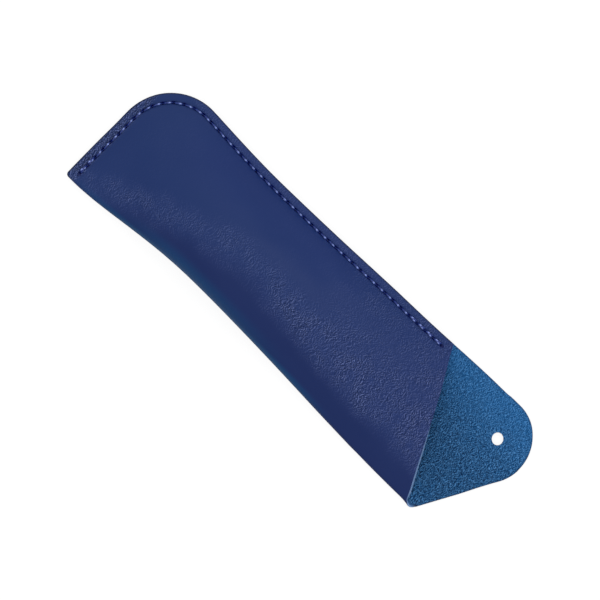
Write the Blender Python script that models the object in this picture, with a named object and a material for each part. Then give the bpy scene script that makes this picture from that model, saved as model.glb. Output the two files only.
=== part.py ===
"""Leather pen case: a blank of leather cut and punched flat, folded along one long side and lockstitched.

The blank is modelled flat, in its own coordinates: x runs from the closed end to the tip of the tongue,
b runs across it from the fold line (front panel above zero, back panel below), and w runs through the
leather, outwards. fold() then carries every point of the flat blank to its place on the finished case.
Lengths are in metres. The finished case lies on its back, +X towards the tongue and +Y towards the seam.
"""

import math

import bmesh
import bpy
import numpy as np
from mathutils import Matrix, Vector

# Blank, measured flat
LENGTH = 0.165  # closed end to the tip of the tongue
PANEL_WIDTH = 0.0463  # fold line to the sewn edge
LEATHER = 0.0012  # thickness of the leather
CORNER_RADIUS = 0.0197  # rounded corner of the closed end
FOLD_CORNER_RADIUS = 0.0012  # rounded corner of the closed end on the fold
TONGUE_REACH = 0.0181  # tip of the tongue past the mouth's corner on the fold line
MOUTH_SLANT = 0.0239  # the mouth runs back this far from the fold line to the sewn edge
TONGUE_STEP = 0.0021  # the tongue's free edge would meet the fold line this far past the mouth
FREE_CORNER_RADIUS = 0.0034  # rounded corner between the fold and the tongue's free edge
TIP_RADIUS = 0.0137  # two round corners of the tongue's tip
TIP_FLAT = 0.0014  # straight stretch between them
TAB_HOLE_DIAMETER = 0.004
TAB_HOLE_FROM_TIP = 0.0109
TAB_HOLE_FROM_EDGE = 0.0121

# Seam
SEAM_MARGIN = 0.003  # stitch line to the sewn edge
SEAM_START = 0.0032  # first needle hole to the fold line, along the closed end
SEAM_STOP = 0.0023  # last needle hole to the mouth's corner on the sewn edge
STITCH_PITCH = 0.0034
SEAM_EASE = 0.001  # flat leather left inside the stitch line
GLUE_LINE = 0.0001  # between the two layers where they are sewn
THREAD_RADIUS = 0.0002
LEG_GAP = 0.0002  # between a thread's two legs at the face of the leather
LEG_SKEW = 0.00005  # the legs stand this far to either side of the stitch line
LOCK_GAP = 0.00012  # from a thread's legs to the thread that it locks with
LOOP_GAP = 0.0001  # between the two threads where one hooks round the other
LOOP_SHOULDER = 0.0001  # a loop's corners stand this far above its foot
HOLE_CLEARANCE = 0.0001  # a thread's legs to the side of their needle hole
STITCH_CLEARANCE = 0.00006  # under a stitch, where it turns down into its hole
STITCH_RISE = 0.00008  # a stitch's middle stands this much higher
TABLE_CLEARANCE = 0.00026  # under the stitches of the back

# Shape of the filled pocket
FULL_AT = 0.051  # station where the pocket is fullest
BULGE_FULL = 0.0131  # extra height of the crown there, over the two flat layers
BULGE_MOUTH = 0.0045  # and at the mouth
ROUND_SHARE_END = 0.2  # share of the bulge taken up by the round of the fold, at the closed end
ROUND_SHARE_FULL = 0.82
ROUND_SHARE_MOUTH = 0.06
CROWN_SHARE_FULL = 0.54  # place of the crown between the seam and the fold
CROWN_SHARE_ENDS = 0.5
SEAM_BOW = 0.0018  # the full pocket draws the sewn edge inwards
SEAM_BOW_POWER = 2.1
SEAM_RISE_FULL = 0.0014  # the full pocket lifts the sewn edge
SETTLE_LENGTH = 0.015  # from the closed end's seam until the back lies on the table
SEAM_RAMP = 0.009  # width over which the back drops from the seam to the table
LIFT_RUNOUT = 0.0042  # past the last needle hole the edge comes down to the table over this length

# Tongue
CREASE_OFFSET = 0.004  # line where the tongue bends, ahead of the mouth
BLANK_GAP = 0.0003  # between two nodes cut from the one blank

# Fineness of the folded form
FORM_COLUMNS = 331
FORM_ROWS = 369
ARC_POINTS = 12
SECTION_POINTS = 24
SOLVER_STEPS = 40
HOLE_SIDES = 8
TAB_HOLE_SIDES = 24
END_COLUMNS = 7
POCKET_COLUMNS = 14
RUNOUT_COLUMNS = 4
MOUTH_COLUMNS = 6
TONGUE_COLUMNS = 1
FOLD_ZONE = 0.011
FOLD_ROW_SHARES = (0.055, 0.11, 0.22, 0.36, 0.52, 0.74, 1.0)
FOLD_CORNER_POINTS = 4
FREE_CORNER_POINTS = 5
CROWN_ROWS = 8
OVERRUN = 0.001  # cutters reach this far past the leather

COLOURS = {
    "navy_leather": (0.028, 0.038, 0.137, 1.0),
    "blue_suede": (0.030, 0.102, 0.235, 1.0),
    "navy_thread": (0.060, 0.075, 0.330, 1.0),
}
ROUGHNESS = {"navy_leather": 0.48, "blue_suede": 0.95, "navy_thread": 0.6}

MOUTH_AT_FOLD = LENGTH - TONGUE_REACH
MOUTH_AT_SEAM = MOUTH_AT_FOLD - MOUTH_SLANT
TONGUE_AT_FOLD = MOUTH_AT_FOLD + TONGUE_STEP
SEAM_END = MOUTH_AT_SEAM - SEAM_STOP
LEG_OFFSET = THREAD_RADIUS + LEG_GAP / 2  # thread centre to the middle of its hole, at the face
LOCK_OFFSET = 2 * THREAD_RADIUS + LOCK_GAP  # and at the lock
LOOP_FOOT = THREAD_RADIUS + LOOP_GAP / 2  # a loop's foot past the middle of the two layers
NEEDLE_HOLE_RADIUS = LEG_OFFSET + THREAD_RADIUS + HOLE_CLEARANCE
LOCK_HOLE_RADIUS = LOCK_OFFSET + THREAD_RADIUS + HOLE_CLEARANCE
RUNOUT_AT = SEAM_END + LOCK_HOLE_RADIUS
STITCH_SHOULDER = THREAD_RADIUS + STITCH_CLEARANCE
STITCH_TOP = STITCH_SHOULDER + STITCH_RISE
SEAM_LIFT_ENDS = STITCH_TOP + THREAD_RADIUS + TABLE_CLEARANCE
SEAM_LIFT_FULL = SEAM_LIFT_ENDS + SEAM_RISE_FULL
LAYER_PITCH = LEATHER + GLUE_LINE  # middle of one layer to the middle of the other
FLAT_FOLD_RADIUS = LAYER_PITCH / 2
POCKET_MARGIN = SEAM_MARGIN + SEAM_EASE
FOLDED_WIDTH = PANEL_WIDTH - (math.pi / 2 - 1) * FLAT_FOLD_RADIUS + LEATHER / 2
CORNER_CENTRE = (CORNER_RADIUS, PANEL_WIDTH - CORNER_RADIUS)
TIP_CENTRE = (LENGTH - TIP_RADIUS, PANEL_WIDTH - TIP_RADIUS)
LOW_TIP_CENTRE = (TIP_CENTRE[0], TIP_CENTRE[1] - TIP_FLAT)


def smooth(share):
    share = min(max(share, 0.0), 1.0)
    return share * share * (3 - 2 * share)


def mix(low, high, share):
    return low + (high - low) * share


def along_pocket(x, at_end, at_full, at_mouth):
    """A value that runs from the closed end's seam, through the fullest station, to the mouth."""
    x = min(x, MOUTH_AT_FOLD)
    if x <= FULL_AT:
        share = max(x - POCKET_MARGIN, 0.0) / (FULL_AT - POCKET_MARGIN)
        return mix(at_end, at_full, math.sin(math.pi / 2 * share))
    share = (x - FULL_AT) / (MOUTH_AT_FOLD - FULL_AT)
    return mix(at_full, at_mouth, 0.5 - 0.5 * math.cos(math.pi * share))


def bulge(x):
    return along_pocket(x, 0.0, BULGE_FULL, BULGE_MOUTH)


def fold_radius(x):
    share = along_pocket(x, ROUND_SHARE_END, ROUND_SHARE_FULL, ROUND_SHARE_MOUTH)
    return FLAT_FOLD_RADIUS + share * bulge(x) / 2


def seam_lift(x):
    """Height of the sewn edge's underside above the table."""
    lift = along_pocket(x, SEAM_LIFT_ENDS, SEAM_LIFT_FULL, SEAM_LIFT_ENDS)
    return lift * (1 - smooth((x - RUNOUT_AT) / LIFT_RUNOUT))


def floor_lift(x):
    """Height of the pocket's underside above the table."""
    return SEAM_LIFT_ENDS * (1 - smooth((x - POCKET_MARGIN) / SETTLE_LENGTH))


def seam_edge_y(x):
    return FOLDED_WIDTH / 2 - SEAM_BOW * (bulge(x) / BULGE_FULL) ** SEAM_BOW_POWER * (x < MOUTH_AT_FOLD)


def pocket_reach(x):
    """Distance from the fold line to the edge of the pocket, across the flat blank."""
    if x >= CORNER_RADIUS:
        return PANEL_WIDTH - POCKET_MARGIN
    across = CORNER_CENTRE[1]
    if x <= POCKET_MARGIN:
        return across
    radius = CORNER_RADIUS - POCKET_MARGIN
    return across + math.sqrt(radius**2 - (CORNER_RADIUS - x) ** 2)


def section_path(x, chord):
    """The middle of the leather across the pocket at station x, as points (distance from the pocket's edge,
    height), from the back's edge, round the fold and over the crown to the front's edge."""
    radius = fold_radius(x)
    back = seam_lift(x) + LEATHER / 2
    floor = floor_lift(x) + LEATHER / 2
    front = back + LAYER_PITCH
    crown = floor + LAYER_PITCH + bulge(x)
    crown_at = chord * along_pocket(x, CROWN_SHARE_ENDS, CROWN_SHARE_FULL, CROWN_SHARE_ENDS)

    def fold_end(slope):
        return chord - radius + radius * math.sin(slope), floor + radius + radius * math.cos(slope)

    low, high = 0.0, math.radians(80)
    for _ in range(SOLVER_STEPS):
        slope = (low + high) / 2
        end_at, end_height = fold_end(slope)
        if math.tan(slope) * (end_at - crown_at) > 2 * (crown - end_height):
            high = slope
        else:
            low = slope
    end_at, end_height = fold_end(low)

    path = []
    for i in range(SECTION_POINTS):
        at = (chord - radius) * i / SECTION_POINTS
        path.append((at, mix(back, floor, smooth(at / SEAM_RAMP))))
    for i in range(ARC_POINTS + 1):
        turn = -math.pi / 2 + (math.pi - low) * i / ARC_POINTS
        path.append((chord - radius + radius * math.cos(turn), floor + radius + radius * math.sin(turn)))
    for i in range(1, SECTION_POINTS + 1):
        at = mix(end_at, crown_at, i / SECTION_POINTS)
        share = (at - crown_at) / (end_at - crown_at)
        path.append((at, mix(crown, end_height, share**2)))
    for i in range(1, SECTION_POINTS + 1):
        share = i / SECTION_POINTS
        path.append((mix(crown_at, 0.0, share), mix(crown, front, share**2)))
    return np.array(path)


def section(x):
    """The path whose length is the leather's own width across the pocket, and its running length."""
    reach = pocket_reach(x)
    low, high = reach / 2, reach
    for _ in range(SOLVER_STEPS):
        chord = (low + high) / 2
        path = section_path(x, chord)
        length = np.linalg.norm(np.diff(path, axis=0), axis=1).sum()
        if length > 2 * reach:
            high = chord
        else:
            low = chord
    steps = np.linalg.norm(np.diff(path, axis=0), axis=1)
    running = np.concatenate([[0.0], np.cumsum(steps)])
    return path, running * (2 * reach / running[-1])


def folded_form():
    """The middle of the folded leather and its outward normal, on a grid over the whole flat blank."""
    stations = np.linspace(0.0, LENGTH, FORM_COLUMNS)
    rows = np.linspace(-PANEL_WIDTH, PANEL_WIDTH, FORM_ROWS)
    form = np.zeros((FORM_COLUMNS, FORM_ROWS, 3))
    for i, x in enumerate(stations):
        reach = pocket_reach(x)
        path, running = section(x)
        inside = np.clip(rows, -reach, reach) + reach
        past = np.abs(rows) - np.minimum(np.abs(rows), reach)
        edge = seam_edge_y(x) - (PANEL_WIDTH - reach)
        form[i, :, 0] = x - LENGTH / 2
        form[i, :, 1] = edge - np.interp(inside, running, path[:, 0]) + past
        form[i, :, 2] = np.interp(inside, running, path[:, 1])
    along = np.gradient(form, stations, axis=0)
    across = np.gradient(form, rows, axis=1)
    normal = np.cross(along, across)
    normal /= np.linalg.norm(normal, axis=2, keepdims=True)
    return form, normal


FORM, NORMAL = folded_form()


def from_grid(table, x, b):
    column = min(max(x / LENGTH, 0.0), 1.0) * (FORM_COLUMNS - 1)
    row = min(max((b / PANEL_WIDTH + 1) / 2, 0.0), 1.0) * (FORM_ROWS - 1)
    i = min(int(column), FORM_COLUMNS - 2)
    j = min(int(row), FORM_ROWS - 2)
    near = mix(table[i, j], table[i, j + 1], row - j)
    far = mix(table[i + 1, j], table[i + 1, j + 1], row - j)
    return mix(near, far, column - i)


def fold(x, b, w):
    """Carries a point of the flat blank to the finished case."""
    normal = from_grid(NORMAL, x, b)
    return Vector(from_grid(FORM, x, b) + normal / np.linalg.norm(normal) * w)


def arc(centre, radius, start, end, count):
    """Points round an arc, angles in degrees."""
    angles = (math.radians(mix(start, end, i / count)) for i in range(count + 1))
    return [(centre[0] + radius * math.cos(a), centre[1] + radius * math.sin(a)) for a in angles]


def mouth_offset(point, offset):
    """The point moved ahead of the mouth, square to it."""
    run = Vector((MOUTH_AT_SEAM - MOUTH_AT_FOLD, PANEL_WIDTH)).normalized()
    return (point[0] + run.y * offset, point[1] - run.x * offset)


def tongue_edge_angle():
    """Direction, in degrees, in which the tongue's free edge leaves the fold line for the tip."""
    to_tip = Vector(LOW_TIP_CENTRE) - Vector((TONGUE_AT_FOLD, 0.0))
    return math.degrees(math.atan2(to_tip.y, to_tip.x) - math.asin(TIP_RADIUS / to_tip.length))


def crease_ends(offset):
    """Ends of a line parallel to the mouth: on the tongue's free edge and on the sewn edge."""
    run = Vector((MOUTH_AT_SEAM - MOUTH_AT_FOLD, PANEL_WIDTH)).normalized()
    edge_angle = math.radians(tongue_edge_angle())
    edge = Vector((math.cos(edge_angle), math.sin(edge_angle)))
    ahead = offset - (TONGUE_AT_FOLD - MOUTH_AT_FOLD) * run.y
    free = Vector((TONGUE_AT_FOLD, 0.0)) + edge * (ahead / (edge.x * run.y - edge.y * run.x))
    sewn = Vector(mouth_offset((MOUTH_AT_SEAM, PANEL_WIDTH), offset))
    sewn += run * ((PANEL_WIDTH - sewn.y) / run.y)
    return free, sewn


def fold_corner():
    """The closed end's rounded corner on the fold, unrolled into the flat blank."""
    outer_radius = FLAT_FOLD_RADIUS + LEATHER / 2
    start = BLANK_GAP / 2 / FLAT_FOLD_RADIUS
    end = math.acos(1 - FOLD_CORNER_RADIUS / outer_radius)
    points = []
    for i in range(FOLD_CORNER_POINTS):
        turn = mix(start, end, i / (FOLD_CORNER_POINTS - 1))
        short = FOLD_CORNER_RADIUS - outer_radius * (1 - math.cos(turn))
        x = FOLD_CORNER_RADIUS - math.sqrt(FOLD_CORNER_RADIUS**2 - short**2)
        points.append((x, FLAT_FOLD_RADIUS * turn))
    return points


def front_outline():
    start = BLANK_GAP / 2
    mouth_at_start = mix(MOUTH_AT_FOLD, MOUTH_AT_SEAM, start / PANEL_WIDTH)
    corner = arc(CORNER_CENTRE, CORNER_RADIUS, 180, 90, ARC_POINTS)
    return [*fold_corner(), *corner, (MOUTH_AT_SEAM, PANEL_WIDTH), (mouth_at_start, start)]


def back_outline():
    """The back panel as far as the crease, with b counted as positive."""
    start = BLANK_GAP / 2
    free, sewn = crease_ends(CREASE_OFFSET - BLANK_GAP / 2)
    edge_angle = tongue_edge_angle()
    reach = FREE_CORNER_RADIUS * math.tan(math.radians(edge_angle / 2))
    centre = (TONGUE_AT_FOLD - reach, FREE_CORNER_RADIUS)
    start_angle = -math.degrees(math.asin(1 - start / FREE_CORNER_RADIUS))
    free_corner = arc(centre, FREE_CORNER_RADIUS, edge_angle - 90, start_angle, FREE_CORNER_POINTS)
    corner = arc(CORNER_CENTRE, CORNER_RADIUS, 180, 90, ARC_POINTS)
    return [*fold_corner(), *corner, tuple(sewn), tuple(free), *free_corner]


def tongue_outline():
    free, sewn = crease_ends(CREASE_OFFSET + BLANK_GAP / 2)
    edge_angle = tongue_edge_angle()
    tip = arc(TIP_CENTRE, TIP_RADIUS, 90, 0, ARC_POINTS)
    tip += arc(LOW_TIP_CENTRE, TIP_RADIUS, 0, edge_angle - 90, ARC_POINTS // 2)
    return [tuple(sewn), *tip, tuple(free)]


def stations():
    """Where the flat blank is cut across, so that it can take its folded form."""
    found = [CORNER_RADIUS * i / END_COLUMNS for i in range(1, END_COLUMNS + 1)]
    found += [mix(CORNER_RADIUS, MOUTH_AT_SEAM, i / POCKET_COLUMNS) for i in range(1, POCKET_COLUMNS + 1)]
    found += [RUNOUT_AT + LIFT_RUNOUT * i / RUNOUT_COLUMNS for i in range(RUNOUT_COLUMNS + 1)]
    found += [mix(MOUTH_AT_SEAM, MOUTH_AT_FOLD, i / MOUTH_COLUMNS) for i in range(1, MOUTH_COLUMNS + 1)]
    found += [mix(MOUTH_AT_FOLD, LENGTH, i / (TONGUE_COLUMNS + 1)) for i in range(1, TONGUE_COLUMNS + 1)]
    return found


def rows():
    """Where the flat blank is cut lengthwise, on the front; the back is cut alike."""
    crowned = PANEL_WIDTH - POCKET_MARGIN - FOLD_ZONE
    found = [FOLD_ZONE * share for share in FOLD_ROW_SHARES]
    found += [FOLD_ZONE + crowned * i / CROWN_ROWS for i in range(1, CROWN_ROWS + 1)]
    return found


def new_object(name, data, collection):
    made = bpy.data.objects.new(name, data)
    collection.objects.link(made)
    return made


def flat_prism(name, outline, thickness, collection):
    """A closed outline in the blank's plane, made a plate of one face each side."""
    curve = bpy.data.curves.new(name, "CURVE")
    curve.dimensions = "2D"
    curve.fill_mode = "BOTH"
    curve.extrude = thickness / 2
    spline = curve.splines.new("POLY")
    spline.points.add(len(outline) - 1)
    for point, (x, b) in zip(spline.points, outline):
        point.co = (x, b, 0.0, 1.0)
    spline.use_cyclic_u = True
    holder = new_object(name + "_curve", curve, collection)
    bpy.context.view_layer.update()
    mesh = bpy.data.meshes.new_from_object(holder.evaluated_get(bpy.context.evaluated_depsgraph_get()))
    bpy.data.objects.remove(holder)
    shape = bmesh.new()
    shape.from_mesh(mesh)
    bmesh.ops.remove_doubles(shape, verts=shape.verts, dist=GLUE_LINE / 10)
    for side in (1, -1):
        caps = [f for f in shape.faces if f.normal.z * side > 0.9]
        bmesh.ops.dissolve_faces(shape, faces=caps)
    bmesh.ops.recalc_face_normals(shape, faces=shape.faces)
    shape.to_mesh(mesh)
    shape.free()
    return mesh


def cut_at_stations(mesh, row_sign):
    """Cuts the plate along the stations and the rows."""
    shape = bmesh.new()
    shape.from_mesh(mesh)
    cuts = [((x, 0.0, 0.0), (1, 0, 0)) for x in stations()]
    cuts += [((0.0, b * row_sign, 0.0), (0, 1, 0)) for b in rows()]
    for place, normal in cuts:
        geometry = shape.verts[:] + shape.edges[:] + shape.faces[:]
        bmesh.ops.bisect_plane(shape, geom=geometry, plane_co=place, plane_no=normal, dist=GLUE_LINE / 10)
    shape.to_mesh(mesh)
    shape.free()


def seam_point(run):
    """Place and direction on the stitch line, a distance from its first hole, on the flat front."""
    radius = CORNER_RADIUS - SEAM_MARGIN
    end_run = CORNER_CENTRE[1] - SEAM_START
    corner_run = radius * math.pi / 2
    if run < end_run:
        return Vector((SEAM_MARGIN, SEAM_START + run)), Vector((0.0, 1.0))
    if run < end_run + corner_run:
        turn = math.pi - (run - end_run) / radius
        way = Vector((math.sin(turn), -math.cos(turn)))
        return Vector(CORNER_CENTRE) + Vector((math.cos(turn), math.sin(turn))) * radius, way
    place = Vector((CORNER_RADIUS + run - end_run - corner_run, PANEL_WIDTH - SEAM_MARGIN))
    return place, Vector((1.0, 0.0))


def seam_length():
    corner_run = (CORNER_RADIUS - SEAM_MARGIN) * math.pi / 2
    return CORNER_CENTRE[1] - SEAM_START + corner_run + SEAM_END - CORNER_RADIUS


STITCHES = round(seam_length() / STITCH_PITCH)


def hole_run(index):
    """Distance of a needle hole from the first one."""
    return seam_length() * index / STITCHES


def needle_cutter(name, side, collection):
    """One cutter for every needle hole of a panel: cones, wider on the inner face, where the threads lock."""
    shape = bmesh.new()
    spread = (LOCK_HOLE_RADIUS - NEEDLE_HOLE_RADIUS) * OVERRUN / LEATHER
    for index in range(STITCHES + 1):
        place, way = seam_point(hole_run(index))
        turn = math.atan2(way.y * side, way.x) + math.pi / HOLE_SIDES
        matrix = Matrix.Translation((place.x, place.y * side, 0.0)) @ Matrix.Rotation(turn, 4, "Z")
        bmesh.ops.create_cone(
            shape,
            cap_ends=True,
            segments=HOLE_SIDES,
            radius1=LOCK_HOLE_RADIUS + spread,
            radius2=NEEDLE_HOLE_RADIUS - spread,
            depth=LEATHER + 2 * OVERRUN,
            matrix=matrix,
        )
    mesh = bpy.data.meshes.new(name)
    shape.to_mesh(mesh)
    shape.free()
    cutter = new_object(name, mesh, collection)
    hide_cutter(cutter)
    return cutter


def tab_hole_cutter(collection):
    shape = bmesh.new()
    place = (LENGTH - TAB_HOLE_FROM_TIP, TAB_HOLE_FROM_EDGE - PANEL_WIDTH, 0.0)
    bmesh.ops.create_cone(
        shape,
        cap_ends=True,
        segments=TAB_HOLE_SIDES,
        radius1=TAB_HOLE_DIAMETER / 2,
        radius2=TAB_HOLE_DIAMETER / 2,
        depth=LEATHER + 2 * OVERRUN,
        matrix=Matrix.Translation(place),
    )
    mesh = bpy.data.meshes.new("tab_hole_cutter")
    shape.to_mesh(mesh)
    shape.free()
    cutter = new_object("tab_hole_cutter", mesh, collection)
    hide_cutter(cutter)
    return cutter


def hide_cutter(cutter):
    cutter.hide_render = True
    cutter.display_type = "WIRE"


def leather_piece(name, outline, side, cutter, material, parts):
    """A piece of the blank: cut to its outline, punched, then folded to shape. side is 1 on the front."""
    mesh = flat_prism(name, [(x, b * side) for x, b in outline], LEATHER, parts)
    cut_at_stations(mesh, side)
    piece = new_object(name, mesh, parts)
    punch = piece.modifiers.new("punch", "BOOLEAN")
    punch.operation = "DIFFERENCE"
    punch.object = cutter
    bpy.context.view_layer.update()
    punched = bpy.data.meshes.new_from_object(piece.evaluated_get(bpy.context.evaluated_depsgraph_get()))
    piece.modifiers.remove(punch)
    for vertex in punched.vertices:
        vertex.co = fold(*vertex.co)
    punched.materials.clear()
    punched.materials.append(material)
    punched.shade_smooth()
    punched.set_sharp_from_angle(angle=math.radians(40))
    piece.data = punched
    bpy.data.meshes.remove(mesh)
    punched.name = name
    return piece


def seam_place(place, height):
    """A point of the flat front's sewn margin, a height above the middle of the two layers."""
    lift = seam_lift(place.x) + LEATHER + GLUE_LINE / 2
    return Vector((place.x - LENGTH / 2, seam_edge_y(place.x) - (PANEL_WIDTH - place.y), lift + height))


def lock_points(index, side):
    """One thread's way through a needle hole. side is 1 for the needle thread, which comes from above."""
    face = GLUE_LINE / 2 + LEATHER
    place, way = seam_point(hole_run(index))
    across = Vector((-way.y, way.x))
    lock = LOCK_OFFSET / math.sqrt(2)
    turns = (
        (-LEG_OFFSET, -LEG_SKEW, face + STITCH_SHOULDER),
        (-lock, -lock, LOOP_SHOULDER - LOOP_FOOT),
        (0.0, 0.0, -LOOP_FOOT),
        (lock, lock, LOOP_SHOULDER - LOOP_FOOT),
        (LEG_OFFSET, LEG_SKEW, face + STITCH_SHOULDER),
    )
    return [seam_place(place + way * s + across * (n * side), height * side) for s, n, height in turns]


def thread(name, side, material, parts):
    """A thread of the lockstitch: over a stitch, down a hole, round the other thread and out again."""
    face = GLUE_LINE / 2 + LEATHER
    points = lock_points(0, side)[2:]
    for index in range(1, STITCHES + 1):
        middle, _ = seam_point((hole_run(index - 1) + hole_run(index)) / 2)
        points.append(seam_place(middle, (face + STITCH_TOP) * side))
        points += lock_points(index, side)[: 3 if index == STITCHES else 5]
    curve = bpy.data.curves.new(name, "CURVE")
    curve.dimensions = "3D"
    curve.bevel_depth = THREAD_RADIUS
    curve.bevel_resolution = 1
    curve.use_fill_caps = True
    spline = curve.splines.new("POLY")
    spline.points.add(len(points) - 1)
    for point, co in zip(spline.points, points):
        point.co = (*co, 1.0)
    curve.materials.append(material)
    return new_object(name, curve, parts)


def make_material(name):
    material = bpy.data.materials.new(name)
    material.use_nodes = True
    shader = material.node_tree.nodes["Principled BSDF"]
    shader.inputs["Base Color"].default_value = COLOURS[name]
    shader.inputs["Roughness"].default_value = ROUGHNESS[name]
    shader.inputs["Metallic"].default_value = 0.0
    return material


def move_origin(piece, place):
    """Puts the piece's origin at a place without moving its shape."""
    piece.data.transform(Matrix.Translation(-place))
    piece.location = place


def crease_middle():
    """The middle of the tongue's bending line, on the upper face of the leather."""
    free, sewn = crease_ends(CREASE_OFFSET)
    ends = [fold(point.x, -point.y, -LEATHER / 2) for point in (free, sewn)]
    return Vector((*((ends[0] + ends[1]) / 2).xy, LEATHER))


def main():
    for old in list(bpy.data.objects):
        bpy.data.objects.remove(old)
    parts = bpy.data.collections.new("leather_pen_case")
    cutters = bpy.data.collections.new("cutters")
    for collection in (parts, cutters):
        bpy.context.scene.collection.children.link(collection)
    leather, suede, yarn = (make_material(name) for name in COLOURS)

    front_holes = needle_cutter("front_hole_cutter", 1, cutters)
    back_holes = needle_cutter("back_hole_cutter", -1, cutters)
    leather_piece("front_panel", front_outline(), 1, front_holes, leather, parts)
    leather_piece("back_panel", back_outline(), -1, back_holes, leather, parts)
    tongue = leather_piece("tongue", tongue_outline(), -1, tab_hole_cutter(cutters), suede, parts)
    move_origin(tongue, crease_middle())
    thread("needle_thread", 1, yarn, parts)
    thread("bobbin_thread", -1, yarn, parts)


main()
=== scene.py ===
import math

import bmesh
import bpy
import numpy as np
from mathutils import Matrix, Vector

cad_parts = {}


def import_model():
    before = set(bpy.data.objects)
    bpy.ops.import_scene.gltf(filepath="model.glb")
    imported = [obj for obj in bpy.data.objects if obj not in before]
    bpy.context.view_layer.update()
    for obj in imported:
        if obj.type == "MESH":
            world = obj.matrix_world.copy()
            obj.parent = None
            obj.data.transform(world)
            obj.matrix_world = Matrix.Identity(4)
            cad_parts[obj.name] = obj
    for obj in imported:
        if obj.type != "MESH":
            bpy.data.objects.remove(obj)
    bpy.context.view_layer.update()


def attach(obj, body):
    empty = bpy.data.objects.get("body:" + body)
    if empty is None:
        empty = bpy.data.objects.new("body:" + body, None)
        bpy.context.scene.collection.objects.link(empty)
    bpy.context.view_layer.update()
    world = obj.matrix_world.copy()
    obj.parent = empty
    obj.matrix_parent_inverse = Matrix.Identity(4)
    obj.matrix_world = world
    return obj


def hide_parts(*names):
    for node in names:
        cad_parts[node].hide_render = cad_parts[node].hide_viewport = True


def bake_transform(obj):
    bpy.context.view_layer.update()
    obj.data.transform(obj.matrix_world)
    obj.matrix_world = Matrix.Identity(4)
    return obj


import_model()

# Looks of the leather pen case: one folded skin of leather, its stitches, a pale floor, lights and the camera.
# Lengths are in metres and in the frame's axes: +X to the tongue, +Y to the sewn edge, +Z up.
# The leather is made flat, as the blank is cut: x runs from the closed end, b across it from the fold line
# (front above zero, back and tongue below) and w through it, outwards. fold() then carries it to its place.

MM = 0.001

# The blank, the same sizes as in the frame
LENGTH = 165 * MM
PANEL_WIDTH = 46.3 * MM
LEATHER = 1.2 * MM
CORNER_RADIUS = 19.7 * MM
FOLD_CORNER_RADIUS = 1.2 * MM
TONGUE_REACH = 18.1 * MM
MOUTH_SLANT = 23.9 * MM
TONGUE_STEP = 2.5 * MM
FREE_CORNER_RADIUS = 2 * MM
TIP_RADIUS = 13.7 * MM
TIP_FLAT = 1.4 * MM
TAB_HOLE_DIAMETER = 4 * MM
TAB_HOLE_FROM_TIP = 10.9 * MM
TAB_HOLE_FROM_EDGE = 12.1 * MM
SEAM_MARGIN = 3 * MM
SEAM_START = 3.2 * MM
SEAM_STOP = 2.3 * MM
STITCH_PITCH = 3.4 * MM
SEAM_EASE = 1 * MM
GLUE_LINE = 0.1 * MM

# The filled pocket, the same sizes as in the frame
FULL_AT = 51 * MM
BULGE_FULL = 13.1 * MM
BULGE_MOUTH = 4.5 * MM
ROUND_SHARE_END = 0.2
ROUND_SHARE_FULL = 0.82
ROUND_SHARE_MOUTH = 0.06
CROWN_SHARE_FULL = 0.54
CROWN_SHARE_ENDS = 0.5
SEAM_BOW = 1.8 * MM
SEAM_BOW_POWER = 2.1
SEAM_LIFT_ENDS = 0.8 * MM
SEAM_LIFT_FULL = 2.2 * MM
SETTLE_LENGTH = 15 * MM
SEAM_RAMP = 9 * MM
LIFT_RUNOUT = 4.2 * MM
RUNOUT_PAST_SEAM = 0.8 * MM

# Softness that only the skin has
MOUTH_LEAN = 0.45 * MM  # how far the knife leant at the mouth
MOUTH_FLARE = 0.8 * MM  # how far the fold springs out at the mouth
FLARE_AT = (144.6 * MM, 148 * MM)  # where along the case it sets in, and where it begins to fade
EDGE_BEVEL = 0.14 * MM
CREASE_SOFTNESS = 0.55 * MM
VALLEY_DEPTH = 0.16 * MM  # the thread pulls the leather in along the stitch line
VALLEY_HALF = 0.75 * MM
DIMPLE_DEPTH = 0.32 * MM  # and more at each needle hole
DIMPLE_HALF = 0.85 * MM
DIMPLE_STRETCH = 1.7  # how much longer that dimple is along the seam than across it
FRONT_HOLE = (1 * MM, 0.42 * MM)  # half its length along the seam, half its width
BACK_HOLE = (0.6 * MM, 0.18 * MM)
FRONT_END_HOLE = (0.56 * MM, 0.24 * MM)
BACK_END_HOLE = (0.15 * MM, 0.15 * MM)  # filled by the thread, so that no light comes through
HOLE_SIDES = 16
TAB_HOLE_SIDES = 48
TAB_HOLE_WIDTH = 3.7 * MM  # the punched hole has closed up a little, and has crept back in the soft leather
TAB_HOLE_WAY = (0.695, 0.719)  # the direction of its longer axis
TAB_HOLE_CREEP = (-0.45 * MM, 0.25 * MM)

# Mesh fineness
ARC_STEPS = 36
FORM_COLUMNS = 661
FORM_ROWS = 741
COARSE_STEP = 1.5 * MM
FINE_STEP = 0.4 * MM
FOLD_STEP = 0.6 * MM  # between rows of cells beside the fold line
FOLD_STRIP = 12 * MM
TIGHT_STEP = 0.16 * MM  # between rows where the leather turns tightest
TIGHT_STRIP = 1.6 * MM
SLAB = 15 * MM
SEAM_STRIP = 2.9 * MM  # fine cells this far to each side of the stitch line
RIM_STRIP = 1.3 * MM  # and this far in from the cut edge
WELD_DISTANCE = 0.002 * MM

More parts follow.
